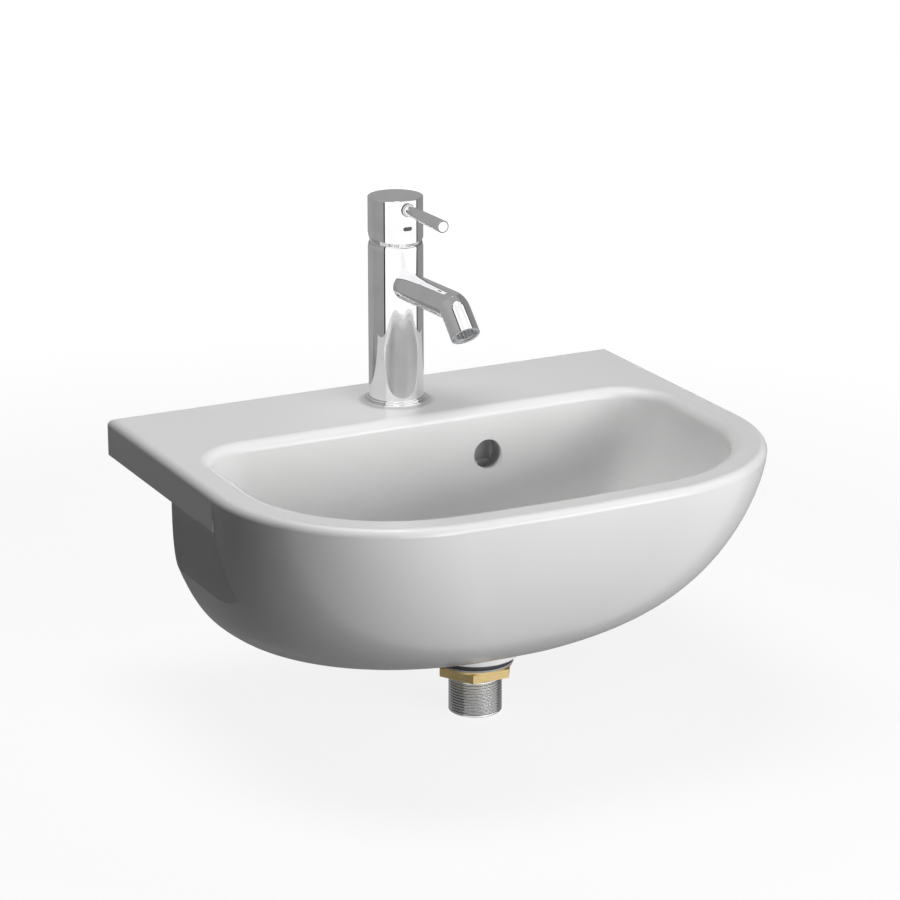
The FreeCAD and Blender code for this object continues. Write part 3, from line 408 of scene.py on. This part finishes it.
FINISHES = {
    "china": make_china(),
    "chrome": make_chrome("chrome"),
    "brass": make_metal("turned_brass", BRASS, 0.3),
    "steel": make_metal("plated_steel", STEEL, 0.28),
    "rubber": make_moulded("black_rubber", RUBBER, 0.62, grain=900.0, depth=0.00003),
    "white_plastic": make_moulded("white_plastic", WHITE_PLASTIC, 0.42),
    "grey_plastic": make_moulded("grey_plastic", GREY_PLASTIC, 0.4),
    "disc_ceramic": make_moulded("sintered_disc", DISC_CERAMIC, 0.3, 2000.0, 0.000004),
    "index": make_moulded("index_plastic", INDEX_DARK, 0.22, depth=0.000005),
}
SPECIAL = {
    "fixing_stud": make_threaded("stud_brass", BRASS, 0.3, pitch=0.001, below=DECK),
    "lever_pin": make_chrome("lever_chrome", rim=(LEVER_TIP, LEVER_TIP_RADIUS)),
    "lever_collar": make_chrome("collar_chrome", rim=(COLLAR_FACE, COLLAR_RADIUS)),
}
waste_chrome = make_chrome("waste_chrome", cut_below=NUT_BASE)

slot_of = {part["node"]: part["material_slot"] for part in frame["record"]["subparts"]}
for name, piece in nodes.items():
    finish = SPECIAL.get(name) or FINISHES[slot_of[name]]
    piece.data.materials.clear()
    piece.data.materials.append(finish)


# ------------------------------------------------------------------ thread on the waste's tail


def shown(name, mesh, material):
    """A new object in the scene, with a mesh of one material."""
    mesh.materials.append(material)
    made = bpy.data.objects.new(name, mesh)
    bpy.context.scene.collection.objects.link(made)
    return made


def thread_row(shape, axis, angles, z, fade):
    """New vertices round the axis at one level, on the wave of a right-hand thread."""
    row = []
    for angle in angles:
        wave = math.cos(2 * math.pi * z / THREAD_PITCH - angle)
        out = THREAD_RADIUS - THREAD_DEPTH * fade * (0.5 - 0.5 * wave)
        place = (axis.x + out * math.cos(angle), axis.y + out * math.sin(angle), z)
        row.append(shape.verts.new(place))
    return row


def cut_thread(node):
    """A copy of the node whose free outer wall has a real thread cut into it.

    The thread fades out over one turn at each end of the wall, so it meets the wall's own
    edges and the mesh stays closed.
    """
    shape = bmesh.new()
    shape.from_mesh(nodes[node].data)
    bmesh.ops.remove_doubles(shape, verts=shape.verts, dist=WELD_DISTANCE)
    low_corner, high_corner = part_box(node)
    axis = (low_corner + high_corner) / 2

    def on_wall(vert):
        out = math.hypot(vert.co.x - axis.x, vert.co.y - axis.y)
        return abs(out - THREAD_RADIUS) < WALL_TOLERANCE and vert.co.z < NUT_BASE

    def turned(vert):
        return math.atan2(vert.co.y - axis.y, vert.co.x - axis.x)

    wall = [face for face in shape.faces if all(on_wall(vert) for vert in face.verts)]
    ends = {vert for face in wall for vert in face.verts}
    low = min(vert.co.z for vert in ends)
    high = max(vert.co.z for vert in ends)
    bmesh.ops.delete(shape, geom=wall, context="FACES")
    bottom = sorted((vert for vert in ends if vert.co.z < low + END_TOLERANCE), key=turned)
    top = sorted((vert for vert in ends if vert.co.z > high - END_TOLERANCE), key=turned)
    angles = [turned(vert) for vert in bottom]
    count = math.ceil((high - low) / THREAD_PITCH * THREAD_ROWS)
    rows = [bottom]
    for step in range(1, count):
        z = low + (high - low) * step / count
        fade = min(1.0, (z - low) / THREAD_PITCH, (high - z) / THREAD_PITCH)
        rows.append(thread_row(shape, axis, angles, z, fade))
    rows.append(top)
    for lower, upper in zip(rows, rows[1:]):
        for index in range(len(lower)):
            after = (index + 1) % len(lower)
            shape.faces.new((lower[index], lower[after], upper[after], upper[index]))
    for face in shape.faces:
        face.smooth = True
    mesh = bpy.data.meshes.new(f"{node}_threaded")
    shape.to_mesh(mesh)
    shape.free()
    stored = mesh.attributes.get("custom_normal")
    if stored:
        mesh.attributes.remove(stored)
    mesh.set_sharp_from_angle(angle=SHARP_ANGLE)
    return shown(f"{node}_threaded", mesh, waste_chrome)


threaded_waste = cut_thread("waste_body")
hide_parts("waste_body")
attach(threaded_waste, "basin_and_tap")

# ------------------------------------------------------------------ floor and cards


def stage_sheet(name, corners, material):
    mesh = bpy.data.meshes.new(name)
    mesh.from_pydata(corners, [], [tuple(range(len(corners)))])
    sheet = shown(name, mesh, material)
    return sheet


def pale_floor():
    """Matt pale floor, white to the camera and the gloss, that keeps the part's shadow."""
    g = material_graph("pale_floor")
    away = g.distance(g.place(), (0.0, 0.0, 0.0))
    glow = g.spread(away, FADE_FROM, FADE_TO, to_low=FLOOR_GLOW, to_high=1.0)
    strength = g.product(g.background_rays(), glow)
    matt = g.add("ShaderNodeBsdfDiffuse", Color=(FLOOR_SHADE, FLOOR_SHADE, FLOOR_SHADE, 1))
    light = g.add("ShaderNodeEmission", Color=WHITE, Strength=strength)
    both = g.add("ShaderNodeAddShader")
    g.feed(both.inputs[0], matt.outputs[0])
    g.feed(both.inputs[1], light.outputs[0])
    return g.show(both)


def card_material(name, level, fall=1.0):
    """An even card, or one whose level changes towards the floor, to fall times as much."""
    g = material_graph(name)
    z = g.axes()[2]
    strength = g.spread(z, FLOOR_LEVEL, CARD_FADE_TOP, to_low=level * fall, to_high=level)
    return g.show(g.add("ShaderNodeEmission", Color=WHITE, Strength=strength))


def studio_card(name, low, high, material):
    """A flat card that only polished surfaces see, between two corners with one size at zero."""
    flat = [first == second for first, second in zip(low, high)].index(True)
    across, up = [axis for axis in range(3) if axis != flat]
    corners = []
    for first, second in ((low, low), (high, low), (high, high), (low, high)):
        corner = list(low)
        corner[across] = first[across]
        corner[up] = second[up]
        corners.append(tuple(corner))
    card = stage_sheet(name, corners, material)
    card.visible_camera = False
    card.visible_diffuse = False
    card.visible_shadow = False
    card.visible_transmission = False
    card.visible_volume_scatter = False


half = FLOOR_SIZE / 2
floor_plan = ((-half, -half), (half, -half), (half, half), (-half, half))
stage_sheet("floor", [(x, y, FLOOR_LEVEL) for x, y in floor_plan], pale_floor())

left_grey = card_material("left_grey", LEFT_GREY, LEFT_FALL)
right_grey = card_material("right_grey", RIGHT_GREY, RIGHT_FALL)
front_white = card_material("front_white", FRONT_WHITE)
back_grey = card_material("back_grey", BACK_GREY)
top_grey = card_material("top_grey", TOP_GREY)
ground_grey = card_material("ground_grey", GROUND_GREY)
edge_black = card_material("edge_black", 0.0)

for side, x, grey in (("left", -CARD_SIDE, left_grey), ("right", CARD_SIDE, right_grey)):
    for strip, front, back, tone in (
        ("card", CARD_FRONT, CARD_BACK, grey),
        ("edge", EDGE_FRONT, CARD_FRONT, edge_black),
        ("light", LIGHT_FRONT, EDGE_FRONT, front_white),
    ):
        studio_card(f"side_{strip}_{side}", (x, front, CARD_LOW), (x, back, CARD_HIGH), tone)
for name, front, low, back, high, tone in (
    ("back_card", CARD_BACK, CARD_LOW, CARD_BACK, CARD_HIGH, back_grey),
    ("top_card", CARD_FRONT, CARD_HIGH, CARD_BACK, CARD_HIGH, top_grey),
    ("ground_card", CARD_FRONT, CARD_LOW, CARD_BACK, CARD_LOW, ground_grey),
    ("front_light", LIGHT_FRONT, CARD_LOW, LIGHT_FRONT, CARD_HIGH, front_white),
):
    studio_card(name, (-CARD_SIDE, front, low), (CARD_SIDE, back, high), tone)

# ------------------------------------------------------------------ light

world = bpy.data.worlds.new("studio")
bpy.context.scene.world = world
world_graph = Graph(world)
choose = world_graph.add("ShaderNodeMixShader", Fac=world_graph.background_rays())
for socket, strength in zip(choose.inputs[1:3], (WORLD_FILL, WORLD_WHITE)):
    sky = world_graph.add("ShaderNodeBackground", Color=WHITE, Strength=strength)
    world_graph.feed(socket, sky.outputs[0])
world_graph.show(choose, "ShaderNodeOutputWorld")


def softbox(name, place, width, height, watts, glossy):
    """A rectangular lamp that faces the middle of the basin."""
    lamp =bpy.data.lights.new(name, "AREA")
    lamp.shape = "RECTANGLE"
    lamp.size = width
    lamp.size_y = height
    lamp.energy = watts
    holder = bpy.data.objects.new(name, lamp)
    holder.location = place
    holder.rotation_euler = (LAMP_AIM - Vector(place)).to_track_quat("-Z", "Y").to_euler()
    holder.visible_glossy = glossy
    bpy.context.scene.collection.objects.link(holder)


for box in SOFTBOXES:
    softbox(*box)

# ------------------------------------------------------------------ camera

camera_data = bpy.data.cameras.new("camera")
camera_data.sensor_fit = "HORIZONTAL"
camera_data.sensor_width = SENSOR_MM
camera_data.lens = FOCAL_PIXELS / FRAME_PIXELS * SENSOR_MM
camera_data.clip_end = CAMERA_REACH
camera = bpy.data.objects.new("camera", camera_data)
camera.location = CAMERA_PLACE
looking = Vector(
    (
        -math.sin(CAMERA_AZIMUTH) * math.cos(CAMERA_ELEVATION),
        math.cos(CAMERA_AZIMUTH) * math.cos(CAMERA_ELEVATION),
        -math.sin(CAMERA_ELEVATION),
    )
)
camera.rotation_euler = looking.to_track_quat("-Z", "Y").to_euler()
bpy.context.scene.collection.objects.link(camera)
bpy.context.scene.camera = camera
bpy.context.scene.view_settings.view_transform = "Standard"
